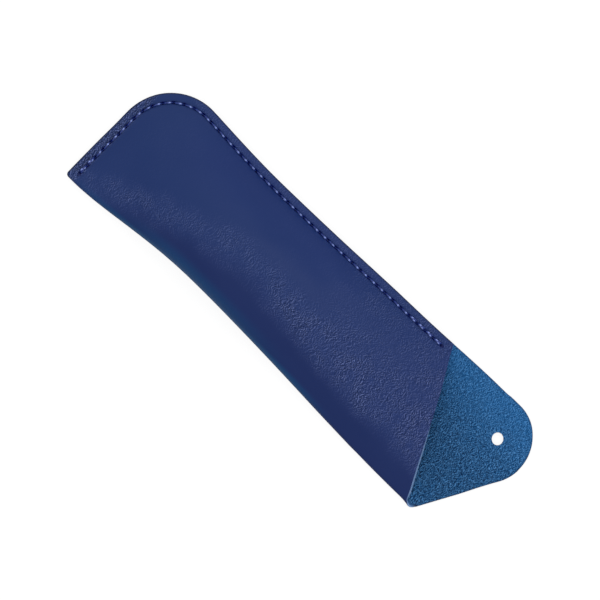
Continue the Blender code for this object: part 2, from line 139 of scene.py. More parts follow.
# Threads
PLY_RADIUS = 0.145 * MM
PLY_OFFSET = 0.135 * MM
PLIES = 3
TWIST_PITCH = 2.1 * MM
TUBE_SIDES = 7
ROUTE_STEP = 0.13 * MM
LEG_OFFSET = 0.48 * MM  # from a needle hole's middle to the thread that goes down in it
LOCK_DEPTH = 1.15 * MM  # where the two threads lock, under the leather's face
STITCH_SLANT = 0.12 * MM
BACKTACK_STITCHES = 4
START_TACK_STITCHES = 2
BACKTACK_SIDE = 0.34 * MM  # the stitches sewn back over the seam lie this far beside it
BACKTACK_LIFT = 0.12 * MM  # and this much higher

MOUTH_AT_FOLD = LENGTH - TONGUE_REACH
MOUTH_AT_SEAM = MOUTH_AT_FOLD - MOUTH_SLANT
TONGUE_AT_FOLD = MOUTH_AT_FOLD + TONGUE_STEP
SEAM_END = MOUTH_AT_SEAM - SEAM_STOP
RUNOUT_AT = SEAM_END + RUNOUT_PAST_SEAM
LAYER_PITCH = LEATHER + GLUE_LINE
FLAT_FOLD_RADIUS = LAYER_PITCH / 2
POCKET_MARGIN = SEAM_MARGIN + SEAM_EASE
FOLDED_WIDTH = PANEL_WIDTH - (math.pi / 2 - 1) * FLAT_FOLD_RADIUS + LEATHER / 2
CORNER_CENTRE = (CORNER_RADIUS, PANEL_WIDTH - CORNER_RADIUS)
TIP_CENTRE = (LENGTH - TIP_RADIUS, PANEL_WIDTH - TIP_RADIUS)
LOW_TIP_CENTRE = (TIP_CENTRE[0], TIP_CENTRE[1] - TIP_FLAT)
TAB_HOLE = (LENGTH - TAB_HOLE_FROM_TIP + TAB_HOLE_CREEP[0], TAB_HOLE_FROM_EDGE - PANEL_WIDTH + TAB_HOLE_CREEP[1])


def smooth(share):
    share = np.clip(share, 0, 1)
    return share * share * (3 - 2 * share)


def mix(low, high, share):
    return low + (high - low) * share


def bell(distance, half):
    return np.exp(-((distance / half) ** 2))


def add_object(name, data):
    holder = bpy.data.objects.new(name, data)
    bpy.context.scene.collection.objects.link(holder)
    return holder


def mesh_of(shape, name):
    """Turns a finished bmesh into a mesh."""
    mesh = bpy.data.meshes.new(name)
    shape.to_mesh(mesh)
    shape.free()
    return mesh


def keep_values(mesh, name, values):
    """Keeps a number for each point of a mesh, for its material to read."""
    mesh.attributes.new(name, "FLOAT", "POINT").data.foreach_set("value", values.astype(np.float32))


# Folded form

def along_pocket(x, at_end, at_full, at_mouth):
    x = np.minimum(x, MOUTH_AT_FOLD)
    rising = np.clip((x - POCKET_MARGIN) / (FULL_AT - POCKET_MARGIN), 0, 1)
    falling = np.clip((x - FULL_AT) / (MOUTH_AT_FOLD - FULL_AT), 0, 1)
    before = mix(at_end, at_full, np.sin(math.pi / 2 * rising))
    after = mix(at_full, at_mouth, 0.5 - 0.5 * np.cos(math.pi * falling))
    return np.where(x <= FULL_AT, before, after)


def bulge(x):
    return along_pocket(x, 0.0, BULGE_FULL, BULGE_MOUTH)


def seam_lift(x):
    lift = along_pocket(x, SEAM_LIFT_ENDS, SEAM_LIFT_FULL, SEAM_LIFT_ENDS)
    return lift * (1 - smooth((x - RUNOUT_AT) / LIFT_RUNOUT))


def seam_edge_y(x):
    bow = SEAM_BOW * (bulge(x) / BULGE_FULL) ** SEAM_BOW_POWER
    return FOLDED_WIDTH / 2 - np.where(x < MOUTH_AT_FOLD, bow, 0.0)


def pocket_reach(x):
    across = CORNER_CENTRE[1]
    radius = CORNER_RADIUS - POCKET_MARGIN
    inside = np.clip(CORNER_RADIUS - x, 0, radius)
    return across + np.sqrt(np.maximum(radius**2 - inside**2, 0.0))


def section_paths(x, chord, arc_steps=48, run_steps=120):
    """Middle of the leather across the pocket at every station: distance from the pocket's edge, and height."""
    share = along_pocket(x, ROUND_SHARE_END, ROUND_SHARE_FULL, ROUND_SHARE_MOUTH)
    radius = FLAT_FOLD_RADIUS + share * bulge(x) / 2
    back = seam_lift(x) + LEATHER / 2
    floor = SEAM_LIFT_ENDS * (1 - smooth((x - POCKET_MARGIN) / SETTLE_LENGTH)) + LEATHER / 2
    front = back + LAYER_PITCH
    crown = floor + LAYER_PITCH + bulge(x)
    crown_at = chord * along_pocket(x, CROWN_SHARE_ENDS, CROWN_SHARE_FULL, CROWN_SHARE_ENDS)
    low = np.zeros_like(x)
    high = np.full_like(x, math.radians(80))
    for _ in range(40):
        slope = (low + high) / 2
        end_at = chord - radius + radius * np.sin(slope)
        end_height = floor + radius + radius * np.cos(slope)
        steep = np.tan(slope) * (end_at - crown_at) > 2 * (crown - end_height)
        high = np.where(steep, slope, high)
        low = np.where(steep, low, slope)
    end_at = chord - radius + radius * np.sin(low)
    end_height = floor + radius + radius * np.cos(low)
    points = []
    for share in np.arange(run_steps) / run_steps:
        at = (chord - radius) * share
        points.append((at, mix(back, floor, smooth(at / SEAM_RAMP))))
    for share in np.arange(arc_steps + 1) / arc_steps:
        turn = -math.pi / 2 + (math.pi - low) * share
        points.append((chord - radius + radius * np.cos(turn), floor + radius + radius * np.sin(turn)))
    for share in np.arange(1, run_steps + 1) / run_steps:
        points.append((mix(end_at, crown_at, share), mix(crown, end_height, (1 - share) ** 2)))
    for share in np.arange(1, run_steps + 1) / run_steps:
        points.append((mix(crown_at, 0.0, share), mix(crown, front, share**2)))
    return np.transpose(np.array(points), (2, 0, 1))


def path_steps(path):
    return np.linalg.norm(np.diff(path, axis=1), axis=2)


def blur(table, sigma, axis):
    """Smooths a table along one axis, with the ends held."""
    half = max(1, int(3 * sigma))
    weights = bell(np.arange(-half, half + 1), sigma * math.sqrt(2))
    weights /= weights.sum()
    pad = [(0, 0)] * table.ndim
    pad[axis] = (half, half)
    padded = np.pad(table, pad, mode="reflect", reflect_type="odd")
    return np.apply_along_axis(np.convolve, axis, padded, weights, mode="valid")


# How far the long edges give sideways, and the two ends are worn back, all in millimetres
GIVE_AT = (0, 10, 20, 30, 40, 50, 60, 70, 80, 90, 100, 110, 120, 127, 140, 147, 150, 154)
FOLD_GIVE = (0.1, -0.1, 0.08, 0.25, 0.42, 0.43, 0.38, 0.32, 0.3,
             0.28, 0.2, 0.05, -0.02, -0.25, -0.25, -0.3, 0.1, 0.05)
SEWN_GIVE = (0, 0, 0, -0.08, -0.07, -0.07, -0.09, -0.15, -0.24,
             -0.25, -0.3, -0.48, -0.42, -0.15, 0.1, 0, 0, 0)
CLOSED_END_AT = (6, 14, 22, 27, 33, 38)
CLOSED_END_WEAR = (0, 0.06, 0.27, 0.27, 0.14, 0)
TIP_AT = (13, 19, 23, 27, 31, 35, 38, 42, 45)
TIP_WEAR = (0, 0.26, 0.3, 0.16, 0, 0.16, 0.24, 0.3, 0.1)
WEAR_LENGTH = 18 * MM
TIP_WEAR_RAMP = 14 * MM


def drawn_in(x, share):
    """How far the leather gives sideways between the fold (share 0) and the sewn edge (share 1)."""
    stations = np.array(GIVE_AT) * MM
    return mix(np.interp(x, stations, FOLD_GIVE), np.interp(x, stations, SEWN_GIVE), share) * MM


def worn_ends(x, across):
    """How far the closed end and the tongue's tip are worn back along the case."""
    closed = np.interp(across, np.array(CLOSED_END_AT) * MM, CLOSED_END_WEAR)
    tip = np.interp(across, np.array(TIP_AT) * MM, TIP_WEAR)
    return MM * (closed * (1 - smooth(x / WEAR_LENGTH)) - tip * smooth((x - LENGTH + WEAR_LENGTH) / TIP_WEAR_RAMP))


def pocket_chord(x, reach):
    """Width of the pocket at every station at which its section takes up just the leather's own length."""
    low, high = reach / 2, reach.copy()
    for _ in range(30):
        chord = (low + high) / 2
        length = path_steps(section_paths(x, chord, 24, 30)).sum(axis=1)
        long = length > 2 * reach
        high = np.where(long, chord, high)
        low = np.where(long, low, chord)
    return chord


def folded_form():
    """The middle of the folded leather, and its outward normal, on a grid over the blank."""
    stations = np.linspace(0.0, LENGTH, FORM_COLUMNS)
    rows = np.linspace(-PANEL_WIDTH, PANEL_WIDTH, FORM_ROWS)
    reach = pocket_reach(stations)
    paths = section_paths(stations, pocket_chord(stations, reach))
    steps = path_steps(paths)
    form = np.zeros((FORM_COLUMNS, FORM_ROWS, 3))
    for i, x in enumerate(stations):
        running = np.concatenate([[0.0], np.cumsum(steps[i])])
        running *= 2 * reach[i] / running[-1]
        inside = np.clip(rows, -reach[i], reach[i]) + reach[i]
        past = np.abs(rows) - np.minimum(np.abs(rows), reach[i])
        edge = seam_edge_y(x) - (PANEL_WIDTH - reach[i])
        form[i, :, 0] = x - LENGTH / 2
        form[i, :, 1] = edge - np.interp(inside, running, paths[i, :, 0]) + past
        form[i, :, 2] = np.interp(inside, running, paths[i, :, 1])
    soft = blur(form, CREASE_SOFTNESS / (rows[1] - rows[0]), 1)
    soft = blur(soft, CREASE_SOFTNESS / (stations[1] - stations[0]), 0)
    share = smooth((np.abs(rows) - 7 * MM) / (4 * MM))[None, :, None]
    form = mix(form, soft, share)
    across = form[:, :, 1]
    nearest, farthest = across.min(axis=1, keepdims=True), across.max(axis=1, keepdims=True)
    give = drawn_in(stations[:, None], (across - nearest) / (farthest - nearest))
    form[:, :, 1] += blur(give, 4 * MM / (stations[1] - stations[0]), 0)
    flare = MOUTH_FLARE * smooth((stations - FLARE_AT[0]) / (4 * MM))
    flare *= 1 - smooth((stations - FLARE_AT[1]) / (1.6 * MM))
    form[:, :, 1] -= flare[:, None] * (1 - smooth(np.abs(rows) / (9 * MM)))[None, :]
    form[:, :, 0] += worn_ends(stations[:, None], np.abs(rows)[None, :])
    along = np.gradient(form, stations, axis=0)
    across = np.gradient(form, rows, axis=1)
    normal = np.cross(along, across)
    normal /= np.linalg.norm(normal, axis=2, keepdims=True)
    return form, normal


FORM, NORMAL = folded_form()


def from_grid(table, x, b):
    column = np.clip(x / LENGTH, 0, 1) * (FORM_COLUMNS - 1)
    row = np.clip((b / PANEL_WIDTH + 1) / 2, 0, 1) * (FORM_ROWS - 1)
    i = np.minimum(column.astype(int), FORM_COLUMNS - 2)
    j = np.minimum(row.astype(int), FORM_ROWS - 2)
    near = mix(table[i, j], table[i, j + 1], (row - j)[:, None])
    far = mix(table[i + 1, j], table[i + 1, j + 1], (row - j)[:, None])
    return mix(near, far, (column - i)[:, None])


def fold(flat):
    """Carries points of the flat blank (x, b, w) to the finished case."""
    x, b, w = np.asarray(flat, float).T
    normal = from_grid(NORMAL, x, b)
    normal /= np.linalg.norm(normal, axis=1, keepdims=True)
    return from_grid(FORM, x, b) + normal * w[:, None]


# Seam

def seam_length():
    corner_run = (CORNER_RADIUS - SEAM_MARGIN) * math.pi / 2
    return CORNER_CENTRE[1] - SEAM_START + corner_run + SEAM_END - CORNER_RADIUS


STITCHES = round(seam_length() / STITCH_PITCH)


def seam_point(run):
    """Place and direction on the stitch line of the flat front, a distance from its first hole."""
    radius = CORNER_RADIUS - SEAM_MARGIN
    end_run = CORNER_CENTRE[1] - SEAM_START
    corner_run = radius * math.pi / 2
    if run < end_run:
        return np.array((SEAM_MARGIN, SEAM_START + run)), np.array((0.0, 1.0))
    if run < end_run + corner_run:
        turn = math.pi - (run - end_run) / radius
        way = np.array((math.sin(turn), -math.cos(turn)))
        return np.array(CORNER_CENTRE) + np.array((math.cos(turn), math.sin(turn))) * radius, way
    along = CORNER_RADIUS + run - end_run - corner_run
    return np.array((along, PANEL_WIDTH - SEAM_MARGIN)), np.array((1.0, 0.0))


HOLES = [seam_point(seam_length() * i / STITCHES) for i in range(STITCHES + 1)]
HOLE_PLACES = np.array([place for place, _ in HOLES])
HOLE_WAYS = np.array([way for _, way in HOLES])


def hole_distance(points):
    """Distance to the nearest needle hole's middle, on either panel. It grows faster across the seam."""
    nearest = np.full(len(points), 1.0)
    for place, way in zip(HOLE_PLACES, HOLE_WAYS):
        away = np.abs(points) - place
        nearest = np.minimum(nearest, np.hypot(away @ way, DIMPLE_STRETCH * (away @ (-way[1], way[0]))))
    return nearest


# Blank

def arc(centre, radius, start, end, count):
    angles = (math.radians(mix(start, end, i / count)) for i in range(count + 1))
    return [(centre[0] + radius * math.cos(a), centre[1] + radius * math.sin(a)) for a in angles]


def tongue_edge_angle():
    to_tip = Vector(LOW_TIP_CENTRE) - Vector((TONGUE_AT_FOLD, 0.0))
    return math.degrees(math.atan2(to_tip.y, to_tip.x) - math.asin(TIP_RADIUS / to_tip.length))


def fold_corner():
    """The closed end's rounded corner on the fold, unrolled into the flat blank, from the fold line to the end."""
    outer_radius = FLAT_FOLD_RADIUS + LEATHER / 2
    last = math.acos(1 - FOLD_CORNER_RADIUS / outer_radius)
    points = []
    for i in range(9):
        turn = last * i / 8
        short = FOLD_CORNER_RADIUS - outer_radius * (1 - math.cos(turn))
        points.append((FOLD_CORNER_RADIUS - math.sqrt(FOLD_CORNER_RADIUS**2 - short**2), FLAT_FOLD_RADIUS * turn))
    return points


def outermost(x):
    """Where across the blank the folded skin reaches furthest out."""
    rows = np.linspace(-2 * MM, 2 * MM, 81)
    skin = fold(np.column_stack([np.full_like(rows, x), rows, np.full_like(rows, LEATHER / 2)]))
    return rows[np.argmin(skin[:, 1])]


OUTERMOST_AT_MOUTH = outermost(MOUTH_AT_FOLD)
FOLD_DEPTH = 3 * MM  # past the turn of the fold at the mouth, where the leather lies flat


def unrolled(depth):
    """How far from the outermost line a point of the flat blank is that ends up this deep inside the fold's edge."""
    middle = FLAT_FOLD_RADIUS + ROUND_SHARE_MOUTH * BULGE_MOUTH / 2
    outer = middle + LEATHER / 2
    if depth < outer:
        return middle * math.acos(1 - depth / outer)
    return math.pi / 2 * middle + depth - outer


def mouth_line(lowest):
    """The front's edge at the mouth, with an arc that brings it forward to the fold's outermost line at x = lowest."""
    turn = math.degrees(math.atan2(PANEL_WIDTH, MOUTH_SLANT))
    radius = (lowest - MOUTH_AT_FOLD) / math.tan(math.radians(turn / 2))
    turned = arc((lowest, radius), radius, -90 - turn, -90, ARC_STEPS // 3)
    corner = [(x, OUTERMOST_AT_MOUTH + unrolled(depth)) for x, depth in turned]
    straight = [
        (mix(MOUTH_AT_SEAM, corner[0][0], i / ARC_STEPS), mix(PANEL_WIDTH, corner[0][1], i / ARC_STEPS))
        for i in range(ARC_STEPS)
    ]
    return straight + corner


def blank_outline():
    """The whole blank, from the closed end's fold corner, round the front to the tongue and the back."""
    edge_angle = tongue_edge_angle()
    deeper = unrolled(FOLD_DEPTH) - OUTERMOST_AT_MOUTH - FOLD_DEPTH
    corner_x = TONGUE_AT_FOLD + deeper / math.tan(math.radians(edge_angle))
    centre = (corner_x - FREE_CORNER_RADIUS * math.tan(math.radians(edge_angle / 2)), FREE_CORNER_RADIUS)
    turned = arc(centre, FREE_CORNER_RADIUS, -88, edge_angle - 90, ARC_STEPS // 3)
    outline = fold_corner()
    outline += arc(CORNER_CENTRE, CORNER_RADIUS, 180, 90, ARC_STEPS)
    outline += mouth_line(centre[0])
    outline += [(x, OUTERMOST_AT_MOUTH - unrolled(depth)) for x, depth in turned]
    outline += [(x, -b) for x, b in arc(LOW_TIP_CENTRE, TIP_RADIUS, edge_angle - 90, 0, ARC_STEPS // 2)]
    outline += [(x, -b) for x, b in arc(TIP_CENTRE, TIP_RADIUS, 0, 90, ARC_STEPS)]
    outline += [(x, -b) for x, b in arc(CORNER_CENTRE, CORNER_RADIUS, 90, 180, ARC_STEPS)]
    outline += [(x, -b) for x, b in reversed(fold_corner()[1:])]
    return outline


OUTLINE = np.array(blank_outline())


def segment_distance(points, starts, ends):
    """Distance of every point to the nearest of these straight segments."""
    nearest = np.full(len(points), 1.0)
    for start, end in zip(starts, ends):
        along = end - start
        share = np.clip((points - start) @ along / max(along @ along, 1e-12), 0, 1)
        nearest = np.minimum(nearest, np.linalg.norm(points - start - share[:, None] * along, axis=1))
    return nearest


def rim_distance(points):
    return segment_distance(points, OUTLINE, np.roll(OUTLINE, -1, axis=0))


def seam_distance(points):
    return segment_distance(np.abs(points), HOLE_PLACES[:-1], HOLE_PLACES[1:])


def lean(x, b):
    """How far the slanting cut at the mouth brings the flesh side forward of the grain side."""
    if b <= 0 or x < MOUTH_AT_SEAM:
        return 0.0
    return MOUTH_LEAN * smooth(b / (1.2 * MM)) * (1 - smooth((b - 15 * MM) / (12 * MM)))


def plate(outline):
    """A flat sheet of leather with this outline."""
    shape = bmesh.new()
    low = [shape.verts.new((x + lean(x, b), b, -LEATHER / 2)) for x, b in outline]
    high = [shape.verts.new((x, b, LEATHER / 2)) for x, b in outline]
    shape.faces.new(low)
    shape.faces.new(high)
    for i in range(len(outline)):
        j = (i + 1) % len(outline)
        shape.faces.new((low[i], low[j], high[j], high[i]))
    bmesh.ops.remove_doubles(shape, verts=shape.verts, dist=0.001 * MM)
    bmesh.ops.recalc_face_normals(shape, faces=shape.faces)
    return mesh_of(shape, "leather_skin")


def hole_prism(shape, place, way, half_length, half_width, sides):
    """An upright punch with an oval section."""
    turn = math.atan2(way[1], way[0])
    matrix = Matrix.Translation((place[0], place[1], 0.0)) @ Matrix.Rotation(turn, 4, "Z")
    matrix @= Matrix.Diagonal((half_length, half_width, 1.0, 1.0))
    bmesh.ops.create_cone(
        shape, cap_ends=True, segments=sides, radius1=1, radius2=1, depth=3 * LEATHER, matrix=matrix)


def punches():
    shape = bmesh.new()
    last = len(HOLES) - 1
    for index, (place, way) in enumerate(HOLES):
        shift = LEG_OFFSET * ((index == 0) - (index == last))
        sizes = (FRONT_END_HOLE, BACK_END_HOLE) if index in (0, last) else (FRONT_HOLE, BACK_HOLE)
        for side, size in zip((1, -1), sizes):
            at = (place[0] + way[0] * shift, (place[1] + way[1] * shift) * side)
            hole_prism(shape, at, (way[0], way[1] * side), *size, HOLE_SIDES)
    hole_prism(shape, TAB_HOLE, TAB_HOLE_WAY, TAB_HOLE_DIAMETER / 2, TAB_HOLE_WIDTH / 2, TAB_HOLE_SIDES)
    return add_object("punches", mesh_of(shape, "punches"))


def punched_plate():
    """The blank with its holes punched and its rims softened, still flat."""
    sheet = add_object("leather_skin", plate(blank_outline()))
    cutter = punches()
    cut = sheet.modifiers.new("cut", "BOOLEAN")
    cut.operation = "DIFFERENCE"
    cut.object = cutter
    rim = sheet.modifiers.new("rim", "BEVEL")
    rim.limit_method = "ANGLE"
    rim.angle_limit = math.radians(60)
    rim.width = EDGE_BEVEL
    rim.segments = 2
    bpy.context.view_layer.update()
    mesh = bpy.data.meshes.new_from_object(sheet.evaluated_get(bpy.context.evaluated_depsgraph_get()))
    sheet.modifiers.clear()
    sheet.data = mesh
    bpy.data.objects.remove(cutter)
    return sheet


def cut_across(shape, faces, axis, places):
    """Cuts these faces, and what they are cut into, along every place on an axis."""
    normal = Vector((0, 0, 0))
    normal[axis] = 1.0
    geometry = list({e for f in faces for e in f.edges}) + list({v for f in faces for v in f.verts}) + list(faces)
    for at in places:
        point = Vector((0, 0, 0))
        point[axis] = at
        made = bmesh.ops.bisect_plane(shape, geom=geometry, plane_co=point, plane_no=normal, dist=0.0005 * MM)
        geometry = made["geom"]


def steps_between(start, end, step):
    count = max(1, round((end - start) / step))
    return [mix(start, end, i / count) for i in range(1, count)]


def fold_rows():
    """Rows of the fold, close together where the leather turns tightly."""
    tight = [TIGHT_STEP * i for i in range(1, 1 + round(TIGHT_STRIP / TIGHT_STEP))]
    wider = steps_between(TIGHT_STRIP, FOLD_STRIP, FOLD_STEP)
    return [side * b for side in (1, -1) for b in tight + wider] + [0.0]


def fine_cells(shape):
    """Faces beside the stitch line, and on the tongue beside its cut edge."""
    faces = shape.faces[:]
    places = np.array([f.calc_center_median()[:2] for f in faces])
    near = seam_distance(places) < SEAM_STRIP
    on_tongue = (slant_place(*places.T) > MOUTH_AT_FOLD) & (places[:, 1] < 0)
    near |= on_tongue & (rim_distance(places) < RIM_STRIP)
    return [f for f, take in zip(faces, near) if take]


def refine_slab(shape, low, high):
    """Cuts a slab of the plate into cells."""
    coarse = steps_between(FOLD_STRIP - COARSE_STEP, PANEL_WIDTH, COARSE_STEP)
    cut_across(shape, shape.faces[:], 0, steps_between(low, high, COARSE_STEP))
    cut_across(shape, shape.faces[:], 1, fold_rows() + [side * b for side in (1, -1) for b in coarse])
    cut_across(shape, fine_cells(shape), 0, steps_between(low, high, FINE_STEP))
    cells = fine_cells(shape)
    for side in (1, -1):
        half = [f for f in cells if f.is_valid and f.calc_center_median().y * side > 0]
        cut_across(shape, half, 1, [side * b for b in steps_between(0, PANEL_WIDTH, FINE_STEP)])


def refine(sheet):
    """Cuts the flat plate into small cells, slab by slab, finer along the seam, the fold and the tongue's edge."""
    whole = bmesh.new()
    whole.from_mesh(sheet.data)
    borders = [0.0, *steps_between(0, LENGTH, SLAB), LENGTH]
    cut_across(whole, whole.faces[:], 0, borders[1:-1])
    whole.verts.index_update()
    vertices, faces = [], []
    for low, high in zip(borders[:-1], borders[1:]):
        slab = bmesh.new()
        corners = {}
        for face in whole.faces:
            if low < face.calc_center_median().x < high:
                for v in face.verts:
                    if v.index not in corners:
                        corners[v.index] = slab.verts.new(v.co)
                slab.faces.new([corners[v.index] for v in face.verts])
        refine_slab(slab, low, high)
        bmesh.ops.triangulate(slab, faces=[f for f in slab.faces if len(f.verts) > 4])
        base = len(vertices)
        slab.verts.index_update()
        vertices += [v.co.copy() for v in slab.verts]
        faces += [[base + v.index for v in f.verts] for f in slab.faces]
        slab.free()
    whole.free()
    mesh = bpy.data.meshes.new("leather_skin")
    mesh.from_pydata(vertices, [], faces)
    joined = bmesh.new()
    joined.from_mesh(mesh)
    bmesh.ops.remove_doubles(joined, verts=joined.verts, dist=WELD_DISTANCE)
    joined.to_mesh(mesh)
    joined.free()
    sheet.data = mesh


SAG_WAVES = (
    (61 * MM, 23 * MM, 0.4, 0.2 * MM),
    (37 * MM, -31 * MM, 1.9, 0.13 * MM),
    (23 * MM, 19 * MM, 3.1, 0.08 * MM),
    (-17 * MM, 13 * MM, 4.4, 0.05 * MM),
)  # length along x, length along b, start and height


def sag(x, b):
    """Slight unevenness of the hand-turned leather, outwards, none where it is sewn or lies on the table."""
    total = sum(
        height * np.sin(2 * math.pi * (x / along + b / across) + start)
        for along, across, start, height in SAG_WAVES
    )
    inside = smooth((PANEL_WIDTH - 6 * MM - np.abs(b)) / (9 * MM)) * smooth((x - 7 * MM) / (12 * MM))
    front = smooth((b - 1 * MM) / (8 * MM)) * smooth((MOUTH_AT_FOLD - slant_place(x, b)) / (20 * MM))
    return total * inside * front


def slant_place(x, b):
    """x, moved along the mouth's slant to the fold line."""
    return x + np.abs(b) * MOUTH_SLANT / PANEL_WIDTH


# How strongly the grain's relief, its painted glints and pits and a painted sheen show on the front. Places from here
# to surface_shares() are in millimetres.
GRAIN_AT = (0, 7, 14, 27, 41, 55, 68, 82, 96, 109, 123, 147)
GRAIN_STRENGTH = (0.1, 0.45, 0.64, 0.5, 0.4, 0.46, 0.64, 0.95, 1.1, 1.0, 0.86, 0.8)
GRAIN_LOW = (1, 1.5, 3, 5.5, 9, 12.5, 13, 11.5, 10, 9.5, 9.5, 8)  # where the painted shade along the fold ends
GRAIN_HIGH = (5, 6, 9, 14, 18, 23, 22, 21, 22, 23, 30, 36)  # where the smooth slope begins
GRAIN_REST = (0.05, 0.05, 0.05, 0.05, 0.05, 0.05, 0.05, 0.06, 0.34, 0.43, 0.57, 0.65)  # share left on that slope


def grain_glint_and_sheen(x, b, low):
    """How strongly the grain's relief, its painted glints and pits and a painted sheen show on the front: most along
    the belly, where the light glances, and at the closed end's margin.
    """
    patch = 1 + 0.14 * np.sin(0.21 * x + 0.17 * b + 1) + 0.12 * np.sin(0.13 * x - 0.29 * b + 2.4)
    strength, high, rest = (np.interp(x, GRAIN_AT, row) for row in (GRAIN_STRENGTH, GRAIN_HIGH, GRAIN_REST))
    grain = patch * strength * smooth((b - low + 3.5) / 9) * (1 - (1 - rest) * smooth((b - high) / 8 + 0.5))
    margin = smooth((4.2 - x) / 1.6) * 2.2
    sewn = smooth((b - 43.4) / 0.8) * 0.28
    return np.maximum(np.maximum(grain, margin), sewn)


def fold_reflection_share(x, b):
    """How strongly a painted teal reflection shows along the fold line, and more softly on both sides of it."""
    line = smooth((2.6 - np.abs(b)) / 2) * smooth((115 - x) / 25)
    beside = 0.75 * smooth((6.5 - np.abs(b)) / 4.5) * smooth((97 - x) / 45) * smooth((x - 18) / 28)
    return np.maximum(line, beside) * smooth(x / 24)


def surface_shares(x, b):
    """Where the grain shows with its painted glints and sheen, where the fold gets painted shade and a painted teal
    reflection, and the painted light and shade of the flesh side.
    """
    past = (slant_place(x, b) - MOUTH_AT_FOLD) / MM
    x, b = x / MM, b / MM
    low = np.interp(x, GRAIN_AT, GRAIN_LOW) + 0.4 * np.sin(0.31 * x + 0.9) + 0.3 * np.sin(0.73 * x + 0.2 * b)
    # Painted light and shade on the flesh side: darker towards the fold, lighter towards the sewn edge.
    painted_lightness = np.interp(-b, (3, 10, 20, 30, 38, 44), (0.66, 0.58, 0.58, 0.66, 0.78, 0.84))
    return {
        "grain": np.where(b > 0, grain_glint_and_sheen(x, b, low), 0.6 * smooth((-b - 2.5) / 3)),
        # painted shade on the fold's side
        "fold_shade": smooth((low + 6 - b) / 9) * smooth((x - 8) / 20) * (b > -12),
        # painted teal reflection along the fold
        "fold_reflection": fold_reflection_share(x, b),
        # painted light and shade of the flesh side, also lighter past the mouth towards the tip
        "suede_light_paint": painted_lightness * np.interp(past, (0, 5, 25), (1.0, 0.97, 1.1)),
    }


def fold_sheet(sheet):
    """Keeps each point's place on the blank as an attribute, then folds the plate."""
    mesh = sheet.data
    count = len(mesh.vertices)
    flat = np.zeros(count * 3)
    mesh.vertices.foreach_get("co", flat)
    flat = flat.reshape(-1, 3)
    x, b, w = flat.T
    places = flat[:, :2]
    hole, line = hole_distance(places), seam_distance(places)
    keep = mesh.attributes.new("flat", "FLOAT_VECTOR", "POINT")
    keep.data.foreach_set("vector", (flat / MM).astype(np.float32).ravel())
    shares = {"hole": hole / MM, "rim": rim_distance(places) / MM, **surface_shares(x, b)}
    for name, values in shares.items():
        keep_values(mesh, name, values)
    outer = smooth(w / LEATHER + 0.5)
    dent = (VALLEY_DEPTH * bell(line, VALLEY_HALF) + DIMPLE_DEPTH * bell(hole, DIMPLE_HALF)) * outer
    placed = fold(np.stack([x, b, w - dent], axis=1))
    placed += from_grid(NORMAL, x, b) * sag(x, b)[:, None]
    mesh.vertices.foreach_set("co", placed.ravel())
    mesh.update()


def assign_sides(sheet, flat_normals):
    """Grain outside, flesh inside and the cut edges between them."""
    up = np.array(flat_normals)
    sides = np.select([up > 0.6, up < -0.6], [0, 1], 2)
    sheet.data.polygons.foreach_set("material_index", sides.astype(np.int32))


# Threads

STITCH_PROFILE = (
    (0.0, -1.0, 0.0),
    (0.0, -0.6, 0.0),
    (0.03, -0.25, 0.0),
    (0.08, 0.02, 0.0),
    (0.17, 0.21, 0.0),
    (0.32, 0.30, 0.0),
    (0.5, 0.34, 0.12),
    (0.6, 0.35, 0.6),
    (0.7, 0.34, 1.0),
    (0.79, 0.24, 0.4),
    (0.87, 0.04, 0.0),
    (0.94, -0.25, 0.0),
    (1.0, -0.6, 0.0),
    (1.0, -1.0, 0.0),
)  # share of the way between two legs, height in millimetres over the leather's face, and painted highlight


def stitch_route(first, last, side, lift=0.0, aside=0.0):
    """Middle of a thread from hole to hole, and its painted highlight. side is 1 on the front and -1 on the back."""
    points = []
    step = 1 if last >= first else -1
    for index in range(first, last, step):
        start, end = HOLE_PLACES[index], HOLE_PLACES[index + step]
        way = (end - start) / np.linalg.norm(end - start)
        across = np.array((-way[1], way[0])) * step
        slant = STITCH_SLANT * step * (way[0] - way[1])
        from_leg = start + way * LEG_OFFSET + across * (aside + slant)
        to_leg = end - way * LEG_OFFSET + across * (aside - slant)
        for share, height, highlight_paint in STITCH_PROFILE:
            place = mix(from_leg, to_leg, share)
            points.append((*place, height * MM + lift * (height > 0), highlight_paint))
        if index + step != last:
            points.append((*(end + across * aside), -LOCK_DEPTH, 0.0))
    x, b, w, highlight_paint = np.array(points).T
    return np.column_stack([fold(np.stack([x, b * side, w + LEATHER / 2], axis=1)), highlight_paint])


def smooth_route(points):
    """Points at an even step on a smooth curve through the route, with the painted highlight and the run at each."""
    ahead = np.vstack([2 * points[0] - points[1], points, 2 * points[-1] - points[-2]])
    fine = []
    for i in range(1, len(ahead) - 2):
        before, start, end, after = ahead[i - 1: i + 3]
        for share in np.arange(6) / 6:
            square, cube = share**2, share**3
            fine.append(0.5 * (2 * start + (end - before) * share
                               + (2 * before - 5 * start + 4 * end - after) * square
                               + (3 * start - before - 3 * end + after) * cube))
    fine.append(ahead[-2])
    fine = np.array(fine)
    run = np.concatenate([[0.0], np.cumsum(np.linalg.norm(np.diff(fine[:, :3], axis=0), axis=1))])
    even = np.linspace(0, run[-1], int(run[-1] / ROUTE_STEP) + 1)
    x, y, z, highlight_paint = (np.interp(even, run, column) for column in fine.T)
    return np.stack([x, y, z], axis=1), highlight_paint, even


def untwisted_sides(centre, helper):
    """Two directions square to a line of points, which don't turn about it as they go along."""
    tangent = np.gradient(centre, axis=0)
    tangent /= np.linalg.norm(tangent, axis=1, keepdims=True)
    normal = np.zeros_like(centre)
    current = np.cross(tangent[0], helper)
    for i, direction in enumerate(tangent):
        current = current - direction * (current @ direction)
        current /= np.linalg.norm(current)
        normal[i] = current
    return normal, np.cross(tangent, normal)


